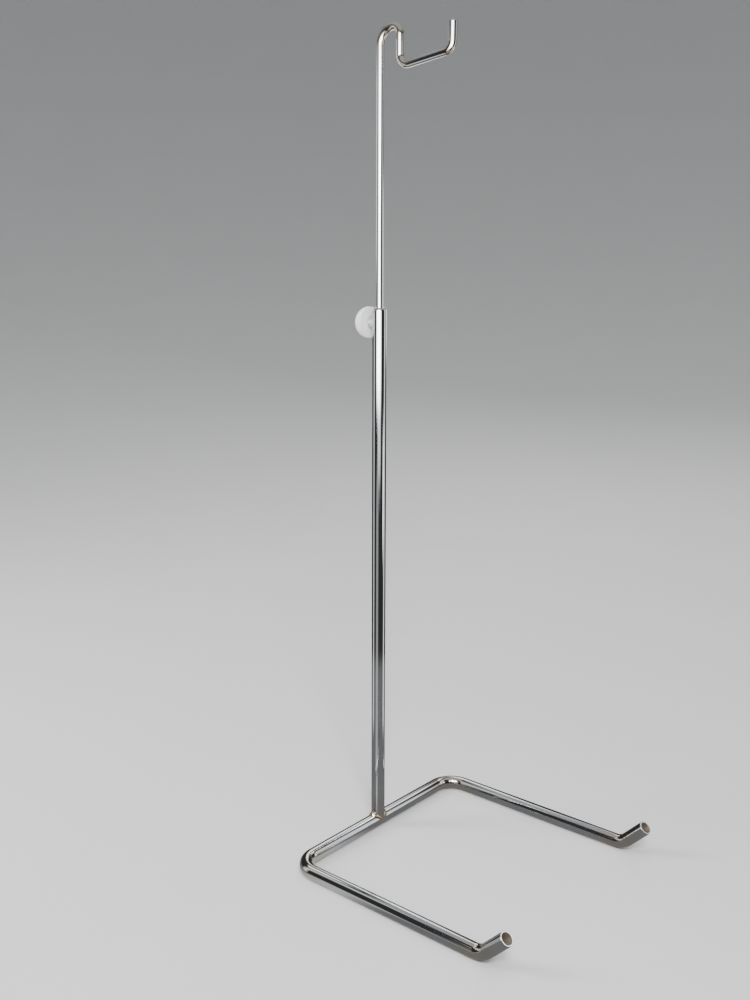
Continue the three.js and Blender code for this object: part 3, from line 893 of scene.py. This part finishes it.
def studio_camera():
    level_reach = math.cos(CAMERA_PITCH)
    forward = Vector((level_reach * math.cos(CAMERA_YAW), level_reach * math.sin(CAMERA_YAW),
                      -math.sin(CAMERA_PITCH)))
    level = Vector((math.sin(CAMERA_YAW), -math.cos(CAMERA_YAW), 0))
    upward = level.cross(forward)
    right = level * math.cos(CAMERA_ROLL) + upward * math.sin(CAMERA_ROLL)
    data = bpy.data.cameras.new("camera")
    data.lens, data.sensor_width = CAMERA_LENS, CAMERA_SENSOR
    data.clip_start, data.clip_end = 0.01, 100
    camera = bpy.data.objects.new("camera", data)
    turn = Matrix((right, (-forward).cross(right), -forward)).transposed()
    camera.matrix_world = Matrix.Translation(CAMERA_PLACE) @ turn.to_4x4()
    bpy.context.scene.collection.objects.link(camera)
    bpy.context.scene.camera = camera


def pale_floor():
    """A round floor that curves up into a backdrop on every side, so that no view has a horizon line."""
    rise_steps = 24
    outline = [(radius, 0.0) for radius in (0.0, 0.4, 1.0, FLOOR_RADIUS)]
    for k in range(1, rise_steps + 1):
        angle = QUARTER_TURN * k / rise_steps
        outline.append((FLOOR_RADIUS + COVE_RADIUS * math.sin(angle), COVE_RADIUS * (1 - math.cos(angle))))
    outline.append((FLOOR_RADIUS + COVE_RADIUS, BACKDROP_HEIGHT))
    profile = [(np.array([height, radius]), np.array([1.0, 0.0])) for radius, height in outline]
    floor = swept("floor", upright_axis(0, BACKDROP_HEIGHT), profile, sides=96)
    s = Shader("pale_floor", (0.74, 0.74, 0.73), 0.0, 0.9)
    cloud = s.noise(s.coordinates(), scale=6.0)
    s.feed("Base Color", s.mix(cloud, (0.73, 0.73, 0.72), (0.76, 0.76, 0.75)))
    s.bsdf.inputs["Specular IOR Level"].default_value = 0
    floor.data.materials.append(s.material)


def window(azimuths, heights, centre, half_width, low, high, level):
    """A soft-edged bright panel on the tent: level inside, 0 outside."""
    off = np.abs((azimuths - centre + 180) % 360 - 180)
    across = np.clip((half_width - off) / (PANEL_FADE * half_width), 0, 1)
    up = np.clip((heights - low) / PANEL_EDGE, 0, 1) * np.clip((high - heights) / PANEL_EDGE, 0, 1)
    return level * (across ** 2 * (3 - 2 * across)) * (up ** 2 * (3 - 2 * up))


def light_tent():
    """A dark drum with soft bright panels, seen only in reflections, which gives the chrome its bands."""
    sides, levels = 240, 80
    floor_edge = 0.06                # width over which the tent's floor brightens, inwards from the wall
    unrolled = np.linspace(-TENT_RADIUS, TENT_HEIGHT, levels)[:, None]
    azimuths = (np.arange(sides) * 360 / sides)[None]
    on_floor = np.clip(-unrolled / floor_edge, 0, 1)
    glow = TENT_DARK + (TENT_FLOOR - TENT_DARK) * on_floor + 0 * azimuths
    for panel in TENT_PANELS:
        glow = glow + window(azimuths, unrolled, *panel)
    turn = np.radians(azimuths[0])
    directions = np.stack([np.cos(turn), np.sin(turn), np.zeros(sides)], axis=1)
    radii = TENT_RADIUS + np.minimum(unrolled, 0)
    heights = TENT_LIFT + np.maximum(unrolled, 0)
    rings = directions[None] * radii[..., None] + heights[..., None] * np.array([0, 0, 1])
    tent = skin("light_tent", rings, np.repeat(-directions[None], levels, 0), attributes={"glow": glow})
    s = Shader("tent_light", (0, 0, 0), 0.0, 1.0)
    s.bsdf.inputs["Emission Color"].default_value = (1, 1, 1, 1)
    s.bsdf.inputs["Specular IOR Level"].default_value = 0
    s.feed("Emission Strength", s.attribute("glow"))
    tent.data.materials.append(s.material)
    tent.visible_camera = tent.visible_diffuse = tent.visible_shadow = False
    tent.visible_transmission = tent.visible_volume_scatter = False


def soft_light(name, place, target, width, height, power):
    data = bpy.data.lights.new(name, "AREA")
    data.shape, data.size, data.size_y, data.energy = "RECTANGLE", width, height, power
    light = bpy.data.objects.new(name, data)
    light.location = place
    light.rotation_mode = "QUATERNION"
    light.rotation_quaternion = (Vector(target) - Vector(place)).to_track_quat("-Z", "Y")
    light.visible_glossy = False
    bpy.context.scene.collection.objects.link(light)


def studio_world():
    world = bpy.data.worlds.new("studio")
    world.use_nodes = True
    bpy.context.scene.world = world
    background = world.node_tree.nodes["Background"]
    background.inputs["Color"].default_value = (0.92, 0.94, 0.97, 1)
    background.inputs["Strength"].default_value = 0.6


def studio():
    pale_floor()
    light_tent()
    studio_world()
    for light in SOFT_LIGHTS:
        soft_light(*light)


# ------------------------------------------------------------------------------------------ the whole stand


def stand():
    # The last argument sets the warm colour: painted reflection at the bends, heat tint at the welds.
    tube_chrome = chrome("tube_chrome", painted_reflection_and_heat_amount=0.35)
    rod_chrome = chrome("rod_chrome", painted_reflection_and_heat_amount=0.5)
    zinc = plated_steel("zinc_plate", (0.68, 0.70, 0.72), (0.60, 0.62, 0.60), low=0.22, high=0.38)
    spring = plated_steel("spring_steel", (0.30, 0.30, 0.31), (0.22, 0.22, 0.24), low=0.3, high=0.48)
    brass = plated_steel("turned_brass", (0.72, 0.56, 0.28), (0.62, 0.46, 0.22), low=0.25, high=0.42)
    foot_tube(tube_chrome)
    upright_tube(tube_chrome)
    foot_weld(welded_chrome())
    hook_rod(rod_chrome)
    for node, height in zip(("rod_clip_lower", "rod_clip_upper"), groove_heights()):
        retaining_clip(node, height, spring)
    rod_glide(nylon())
    screw_boss(zinc)
    screw_head(white_plastic())
    screw_stud(zinc)
    screw_pad(brass)


studio_camera()
studio()
stand()
